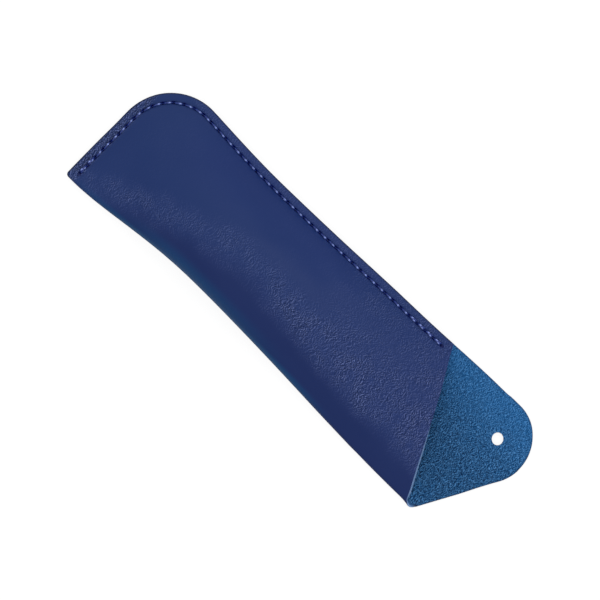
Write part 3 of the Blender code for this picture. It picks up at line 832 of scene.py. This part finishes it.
def tube(vertices, faces, centre, radius):
    """Adds a capped tube round a line of points."""
    normal, binormal = untwisted_sides(centre, (0.0, 0.0, 1.0))
    base = sum(len(block) for block in vertices)
    angles = 2 * math.pi * np.arange(TUBE_SIDES) / TUBE_SIDES
    rings = (centre[:, None] + radius * (normal[:, None] * np.cos(angles)[None, :, None]
                                         + binormal[:, None] * np.sin(angles)[None, :, None]))
    vertices.append(rings.reshape(-1, 3))
    for i in range(len(centre) - 1):
        for k in range(TUBE_SIDES):
            n = (k + 1) % TUBE_SIDES
            row, after = base + i * TUBE_SIDES, base + (i + 1) * TUBE_SIDES
            faces.append((row + k, row + n, after + n, after + k))
    faces.append(tuple(base + k for k in reversed(range(TUBE_SIDES))))
    faces.append(tuple(base + (len(centre) - 1) * TUBE_SIDES + k for k in range(TUBE_SIDES)))


def plied_thread(name, routes):
    """A thread of twisted plies along each route."""
    vertices, faces, highlight_paints = [], [], []
    for route in routes:
        centre, highlight_paint, run = smooth_route(route)
        normal, binormal = untwisted_sides(centre, (0.3, 0.5, 0.8))
        for ply in range(PLIES):
            turn = 2 * math.pi * (run / TWIST_PITCH + ply / PLIES)
            offset = normal * np.cos(turn)[:, None] + binormal * np.sin(turn)[:, None]
            tube(vertices, faces, centre + offset * PLY_OFFSET, PLY_RADIUS)
            highlight_paints.append(np.repeat(highlight_paint, TUBE_SIDES))
    mesh = bpy.data.meshes.new(name)
    mesh.from_pydata(np.concatenate(vertices).tolist(), [], faces)
    # The painted highlight, for the material to read.
    keep_values(mesh, "highlight_paint", np.concatenate(highlight_paints))
    mesh.shade_smooth()
    return add_object(name, mesh)


# Materials

class Nodes:
    """Short hands for building the nodes of a material or of the world."""

    def __init__(self, owner):
        owner.use_nodes = True
        self.owner = owner
        self.tree = owner.node_tree
        self.shader = self.tree.nodes.get("Principled BSDF")

    def add(self, kind, inputs=(), **settings):
        """Makes a node with these settings, and fills its inputs."""
        node = self.tree.nodes.new(kind)
        for key, value in settings.items():
            setattr(node, key, value)
        self.fill(node, inputs)
        return node

    def fill(self, node, inputs):
        """Gives a node's inputs, by name or number, what they take: a number, a tuple or another node's output."""
        for key, value in dict(inputs).items():
            target = node.inputs[key]
            if isinstance(value, bpy.types.NodeSocket):
                self.tree.links.new(value, target)
            elif isinstance(value, tuple):
                target.default_value = (*value, 1.0)[:len(target.default_value)]
            else:
                target.default_value = value

    def attribute(self, name, output="Fac"):
        return self.add("ShaderNodeAttribute", attribute_name=name).outputs[output]

    def vector(self, operation, first, second):
        return self.add("ShaderNodeVectorMath", {0: first, 1: second}, operation=operation).outputs[0]

    def math(self, operation, *values, clamp=False):
        return self.add("ShaderNodeMath", enumerate(values), operation=operation, use_clamp=clamp).outputs[0]

    def times(self, first, second, clamp=False):
        return self.math("MULTIPLY", first, second, clamp=clamp)

    def noise(self, vector, scale, detail=3.0, roughness=0.55, distortion=0.0):
        inputs = {"Vector": vector, "Scale": scale, "Detail": detail, "Roughness": roughness, "Distortion": distortion}
        return self.add("ShaderNodeTexNoise", inputs).outputs["Fac"]

    def cells(self, vector, scale, randomness):
        inputs = {"Vector": vector, "Scale": scale, "Randomness": randomness}
        return self.add("ShaderNodeTexVoronoi", inputs, feature="DISTANCE_TO_EDGE").outputs["Distance"]

    def ramp(self, value, low, high, from_low=0.0, from_high=1.0):
        inputs = {"Value": value, "From Min": low, "From Max": high, "To Min": from_low, "To Max": from_high}
        return self.add("ShaderNodeMapRange", inputs, clamp=True).outputs["Result"]

    def blend(self, share, first, second):
        """Mixes two colours."""
        return self.add("ShaderNodeMix", {"Factor": share, 6: first, 7: second}, data_type="RGBA").outputs[2]

    def surface(self, colour, roughness, specular, height, relief):
        """Gives the shader its colour, roughness, shine and bumps, and returns the material."""
        bumps = self.add("ShaderNodeBump", {"Height": height, "Distance": relief}).outputs["Normal"]
        inputs = {"Base Color": colour, "Roughness": roughness, "Specular IOR Level": specular, "Normal": bumps}
        self.fill(self.shader, inputs)
        return self.owner


NAVY = (0.0065, 0.0265, 0.128)
# Painted shade on the side of the fold that turns away from the light.
NAVY_FOLD_SHADE = (0.004, 0.018, 0.105)
NAVY_PALE = (0.0066, 0.0255, 0.131)
# Painted light on the slope towards the sewn edge.
NAVY_SLOPE_LIGHT_PAINT = (0.0102, 0.0296, 0.142)
# Painted glints and painted sheen of the grain.
NAVY_GLINT_PAINT = (0.125, 0.170, 0.400)
# Painted shade in the grain's pits.
NAVY_PIT_SHADE = (0.003, 0.014, 0.080)
# Painted reflection, teal, along the fold.
FOLD_REFLECTION_TEAL = (0.001, 0.052, 0.165)
SUEDE_DARK = (0.001, 0.028, 0.105)
SUEDE = (0.017, 0.135, 0.370)
SUEDE_LIGHT = (0.124, 0.372, 0.780)
SUEDE_EDGE = (0.018, 0.080, 0.220)
SUEDE_SHEEN = (0.350, 0.600, 0.950)
RAW_EDGE = (0.270, 0.390, 0.600)
# Painted shade on the cut edges and along the rims beside them.
EDGE_SHADE_PAINT = (0.006, 0.014, 0.050)
# Painted shade round the needle holes.
HOLE_SHADE_PAINT = (0.001, 0.005, 0.075)
HOLE_WALL = (0.001, 0.014, 0.400)
THREAD_DARK = (0.004, 0.014, 0.150)
THREAD_BLUE = (0.022, 0.052, 0.260)
# Painted highlight on each stitch.
THREAD_HIGHLIGHT_PAINT = (0.300, 0.400, 0.860)
GRAIN_RELIEF = 0.15 * MM
NAP_RELIEF = 0.3 * MM
EDGE_RELIEF = 0.08 * MM
THREAD_RELIEF = 0.03 * MM
WRINKLE_SHIFT = 0.85
WRINKLE_CONTRAST = 1.2
SLANT = MOUTH_SLANT / PANEL_WIDTH


def blank_place(n):
    """Place on the blank in millimetres: x, b, how far b is from the fold line, and w."""
    flat = n.attribute("flat", "Vector")
    x, b, w = n.add("ShaderNodeSeparateXYZ", {0: flat}).outputs
    return flat, x, b, n.math("ABSOLUTE", b), w


def swirled(n, flat, scale, size):
    """The blank's place, shifted about by a soft noise."""
    swirl = n.add("ShaderNodeTexNoise", {"Vector": flat, "Scale": scale}).outputs["Color"]
    return n.vector("ADD", flat, n.vector("MULTIPLY", swirl, (size, size, 0.0)))


def wrinkles(n, flat, scale, along):
    """Short wavy wrinkles with a painted lit side and a painted shaded side: a noise less itself a little way along,
    round 0.5.
    """
    heights = []
    for aside in (0.0, WRINKLE_SHIFT / scale):
        place = swirled(n, n.vector("ADD", flat, (aside, 0.0, 0.0)), 0.3, 4.0)
        heights.append(n.noise(n.vector("MULTIPLY", place, (1.0, along, 1.0)), scale, detail=1.0, roughness=0.8))
    rise = n.times(n.math("SUBTRACT", heights[0], heights[1]), WRINKLE_CONTRAST)
    return n.math("ADD", rise, 0.5)


def mouth_distance(n, x, across):
    """How far a place on the blank is from the mouth's line, along x, in millimetres."""
    past = n.math("SUBTRACT", n.math("ADD", x, n.times(across, SLANT)), MOUTH_AT_FOLD / MM)
    return n.math("ABSOLUTE", past)


def smooth_navy(n, x, b):
    """The navy's slow changes of colour over the blank, without its grain: painted light on the slope to the sewn
    edge, painted shade on the fold's side and a painted teal reflection along the fold.
    """
    colour = n.blend(n.ramp(x, 60.0, 120.0, 0.0, 0.8), NAVY, NAVY_PALE)
    # Painted light on the slope towards the sewn edge, which turns away from the light.
    slope = n.times(n.ramp(b, 22.0, 37.0), n.ramp(x, 12.0, 34.0))
    colour = n.blend(n.times(slope, n.ramp(x, 100.0, 76.0)), colour, NAVY_SLOPE_LIGHT_PAINT)
    # Painted shade on the fold's side.
    colour = n.blend(n.attribute("fold_shade"), colour, NAVY_FOLD_SHADE)
    # Painted teal reflection along the fold.
    return n.blend(n.attribute("fold_reflection"), colour, FOLD_REFLECTION_TEAL)


def grain_material():
    """Navy grain side: pebbled, semi-matt, with painted glints and pits, and painted shade and a painted teal
    reflection round the fold.
    """
    n = Nodes(bpy.data.materials.new("navy_grain"))
    flat, x, b, across, _ = blank_place(n)
    pebble = n.cells(swirled(n, flat, 0.5, 1.6), 1.2, randomness=0.95)
    fibre = n.noise(flat, 5.0, detail=4.0)
    fine = wrinkles(n, flat, 2.9, 0.6)
    patches = n.ramp(n.noise(flat, 0.17, detail=1.0), 0.4, 0.58, 0.55, 1.2)
    share = n.times(n.attribute("grain"), patches)
    # Painted shade in the wrinkles' pits and painted glints on their rims.
    pit_shade = n.times(n.ramp(fine, 0.46, 0.3), n.math("MINIMUM", share, 0.75))
    glint_paint = n.times(n.ramp(fine, 0.54, 0.74), share)
    colour = smooth_navy(n, x, b)
    # A painted sheen where the grain shows.
    colour = n.blend(n.times(share, 0.078), colour, NAVY_GLINT_PAINT)
    colour = n.blend(n.times(pit_shade, 0.9), colour, NAVY_PIT_SHADE)
    colour = n.blend(n.times(glint_paint, 0.84, clamp=True), colour, NAVY_GLINT_PAINT)
    # Painted shade along the cut edges, except at the mouth.
    edge = n.ramp(n.attribute("rim"), 0.55, 0.2, 0.0, 0.75)
    edge = n.times(edge, n.math("GREATER_THAN", mouth_distance(n, x, across), 1.0))
    colour = n.blend(edge, colour, EDGE_SHADE_PAINT)
    # Painted shade round the needle holes.
    colour = n.blend(n.ramp(n.attribute("hole"), 1.3, 0.7, 0.0, 0.9), colour, HOLE_SHADE_PAINT)
    height = n.math("ADD", n.ramp(pebble, 0.0, 0.2), n.times(fine, 1.2))
    height = n.times(n.math("ADD", height, n.times(fibre, 0.3)), share)
    return n.surface(colour, n.ramp(fibre, 0.3, 0.7, 0.4, 0.52), 0.2, height, GRAIN_RELIEF)


def suede_material():
    """Blue napped flesh side: matt, mottled, with light fibre ends, and painted light and shade that make it paler to
    the sewn edge and the tip.
    """
    n = Nodes(bpy.data.materials.new("blue_suede"))
    flat, _, _, across, _ = blank_place(n)
    mottle = n.noise(flat, 1.55, detail=2.0, roughness=0.8, distortion=0.6)
    speck = wrinkles(n, flat, 3.1, 0.9)
    colour = n.blend(n.ramp(mottle, 0.40, 0.53), SUEDE_DARK, SUEDE)
    colour = n.blend(n.ramp(mottle, 0.54, 0.65), colour, SUEDE_LIGHT)
    # The nap's specks, with the painted lit and shaded sides of wrinkles().
    colour = n.blend(n.ramp(speck, 0.48, 0.33, 0.0, 0.9), colour, SUEDE_DARK)
    colour = n.blend(n.ramp(speck, 0.56, 0.72, 0.0, 0.75), colour, SUEDE_LIGHT)
    colour = n.blend(n.ramp(across, 24.0, 42.0, 0.0, 0.35), colour, SUEDE)
    # Painted light and shade: paler to the sewn edge and the tip, darker towards the fold and the mouth.
    colour = n.add("ShaderNodeVectorMath", {0: colour, "Scale": n.attribute("suede_light_paint")}, operation="SCALE").outputs[0]
    # Painted shade along the cut edges.
    colour = n.blend(n.ramp(n.attribute("rim"), 0.5, 0.2, 0.0, 0.4), colour, EDGE_SHADE_PAINT)
    colour = n.blend(n.ramp(n.attribute("hole"), 1.2, 0.7), colour, HOLE_WALL)
    n.fill(n.shader, {"Sheen Weight": 0.12, "Sheen Roughness": 0.5, "Sheen Tint": SUEDE_SHEEN})
    height = n.math("ADD", n.times(mottle, 0.8), n.times(speck, 0.3))
    return n.surface(colour, 0.95, 0.12, height, NAP_RELIEF)


def edge_material():
    """Raw cut edge: pale layered fibre at the mouth, painted shade on the sewn and free edges, and saturated blue in
    the holes.
    """
    n = Nodes(bpy.data.materials.new("raw_edge"))
    flat, x, b, across, w = blank_place(n)
    layers = n.noise(n.vector("MULTIPLY", flat, (1.0, 1.0, 5.0)), 1.6, detail=4.0, roughness=0.65)
    colour = n.blend(n.ramp(layers, 0.3, 0.7, 0.25, 1.0), SUEDE, RAW_EDGE)
    depth = n.math("ADD", w, n.times(layers, 0.5))
    frayed = n.times(n.ramp(b, 2.5, 0.5), n.ramp(depth, 0.5, 0.2))
    colour = n.blend(frayed, colour, SUEDE_EDGE)
    at_mouth = n.times(n.ramp(mouth_distance(n, x, across), 4.0, 2.0), n.ramp(b, -3.5, -1.5))
    # Painted shade on the cut edges away from the mouth.
    colour = n.blend(at_mouth, EDGE_SHADE_PAINT, colour)
    colour = n.blend(n.ramp(n.attribute("hole"), 1.6, 1.2), colour, HOLE_WALL)
    return n.surface(colour, 0.85, 0.2, layers, EDGE_RELIEF)


def thread_material():
    """Blue-violet sewing thread with a slight shine, and a painted highlight on each stitch."""
    n = Nodes(bpy.data.materials.new("violet_thread"))
    place = n.add("ShaderNodeTexCoord").outputs["Object"]
    fuzz = n.noise(place, 3500.0, detail=3.0, roughness=0.7)
    colour = n.blend(n.ramp(fuzz, 0.35, 0.6), THREAD_DARK, THREAD_BLUE)
    # Painted highlight on each stitch.
    colour = n.blend(n.times(n.attribute("highlight_paint"), n.ramp(fuzz, 0.3, 0.5)), colour, THREAD_HIGHLIGHT_PAINT)
    return n.surface(colour, 0.36, 0.5, fuzz, THREAD_RELIEF)


# Stage

FLOOR_SIZE = 6.0
FLOOR_DROP = 0.2 * MM  # keeps the floor clear of the case's flat back
FLOOR_GLOW = 0.85
FLOOR_SEEN = 0.21
FLOOR_BOUNCE = 0.6
DOME_LOW = 0.48
DOME_HIGH = 1.1


def floor():
    """Pale floor: white to the camera, and it keeps a soft shadow of the case."""
    bpy.ops.mesh.primitive_plane_add(size=FLOOR_SIZE, location=(0, 0, -FLOOR_DROP))
    plane = bpy.context.object
    plane.name = "floor"
    n = Nodes(bpy.data.materials.new("pale_floor"))
    n.tree.nodes.remove(n.shader)
    seen = n.add("ShaderNodeLightPath").outputs["Is Camera Ray"]
    diffuse = n.add("ShaderNodeBsdfDiffuse", {"Color": n.ramp(seen, 0.0, 1.0, FLOOR_BOUNCE, FLOOR_SEEN)})
    glow = n.add("ShaderNodeEmission", {"Strength": n.times(seen, FLOOR_GLOW)})
    both = n.add("ShaderNodeAddShader", {0: diffuse.outputs[0], 1: glow.outputs[0]})
    n.fill(n.tree.nodes["Material Output"], {"Surface": both.outputs[0]})
    plane.data.materials.append(n.owner)


def world():
    """White to the camera. Its light comes mostly from above, as from a big overhead diffuser."""
    n = Nodes(bpy.data.worlds.new("studio"))
    bpy.context.scene.world = n.owner
    split = n.add("ShaderNodeSeparateXYZ", {0: n.add("ShaderNodeTexCoord").outputs["Generated"]})
    dome = n.ramp(split.outputs["Z"], 0.0, 1.0, DOME_LOW, DOME_HIGH)
    seen = n.add("ShaderNodeLightPath").outputs["Is Camera Ray"]
    level = n.add("ShaderNodeMix", {"Factor": seen, "A": dome, "B": 1.0}).outputs["Result"]
    n.fill(n.tree.nodes["Background"], {"Color": (1.0, 1.0, 1.0), "Strength": level})


def softbox(name, location, size, power):
    """A square lamp that points at the case. Size in metres, power in watts."""
    lamp = bpy.data.lights.new(name, "AREA")
    lamp.shape = "RECTANGLE"
    lamp.size = lamp.size_y = size
    lamp.energy = power
    holder = add_object(name, lamp)
    holder.location = location
    holder.rotation_euler = (-Vector(location)).to_track_quat("-Z", "Y").to_euler()


PHOTO_PIXELS = 600
PIXELS_PER_MM = 3.22
CASE_MIDDLE_PX = (308.7, 305.3)
CASE_TURN = math.radians(44)
LENS_MM = 200
SENSOR_MM = 36


def camera():
    """Straight above, as in the photograph, with the case turned 44 degrees."""
    width = PHOTO_PIXELS / PIXELS_PER_MM * MM
    data = bpy.data.cameras.new("camera")
    data.lens = LENS_MM
    data.sensor_width = SENSOR_MM
    data.clip_end = 20.0
    holder = add_object("camera", data)
    right = Vector((math.cos(CASE_TURN), math.sin(CASE_TURN), 0.0))
    up = Vector((-math.sin(CASE_TURN), math.cos(CASE_TURN), 0.0))
    across = (PHOTO_PIXELS / 2 - CASE_MIDDLE_PX[0]) / PIXELS_PER_MM * MM
    rise = (CASE_MIDDLE_PX[1] - PHOTO_PIXELS / 2) / PIXELS_PER_MM * MM
    distance = width * LENS_MM / SENSOR_MM
    holder.location = right * across + up * rise + Vector((0, 0, distance + 2 * MM))
    holder.rotation_euler = (0.0, 0.0, CASE_TURN)
    bpy.context.scene.camera = holder


def leather():
    """The whole blank as one skin, tongue and all, folded to its place."""
    sheet = punched_plate()
    refine(sheet)
    sheet.data.update()
    flat_normals = [p.normal.z for p in sheet.data.polygons]
    fold_sheet(sheet)
    sheet.data.materials.clear()
    for material in (grain_material(), suede_material(), edge_material()):
        sheet.data.materials.append(material)
    assign_sides(sheet, flat_normals)
    sheet.data.shade_smooth()
    weighted = sheet.modifiers.new("weighted", "WEIGHTED_NORMAL")
    weighted.keep_sharp = True
    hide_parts("front_panel", "back_panel", "tongue")
    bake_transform(sheet)


def threads():
    """The seam's two threads, each with the few stitches that are sewn back over both of its ends."""
    finish = thread_material()
    pieces = (("needle_stitches", 1, "needle_thread"), ("bobbin_stitches", -1, "bobbin_thread"))
    for name, side, node in pieces:
        stitches = plied_thread(name, [
            stitch_route(0, STITCHES, side),
            stitch_route(STITCHES, STITCHES - BACKTACK_STITCHES, side, lift=BACKTACK_LIFT, aside=BACKTACK_SIDE),
            stitch_route(START_TACK_STITCHES, 0, side, lift=BACKTACK_LIFT, aside=BACKTACK_SIDE),
        ])
        stitches.data.materials.append(finish)
        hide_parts(node)
        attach(stitches, "sleeve")


def main():
    leather()
    threads()
    floor()
    world()
    softbox("key", (0.25, 0.70, 1.0), 0.35, 1.27)
    softbox("fill", (-0.7, 0.6, 1.1), 0.9, 0.7)
    camera()
    bpy.context.scene.view_settings.view_transform = "Standard"


main()
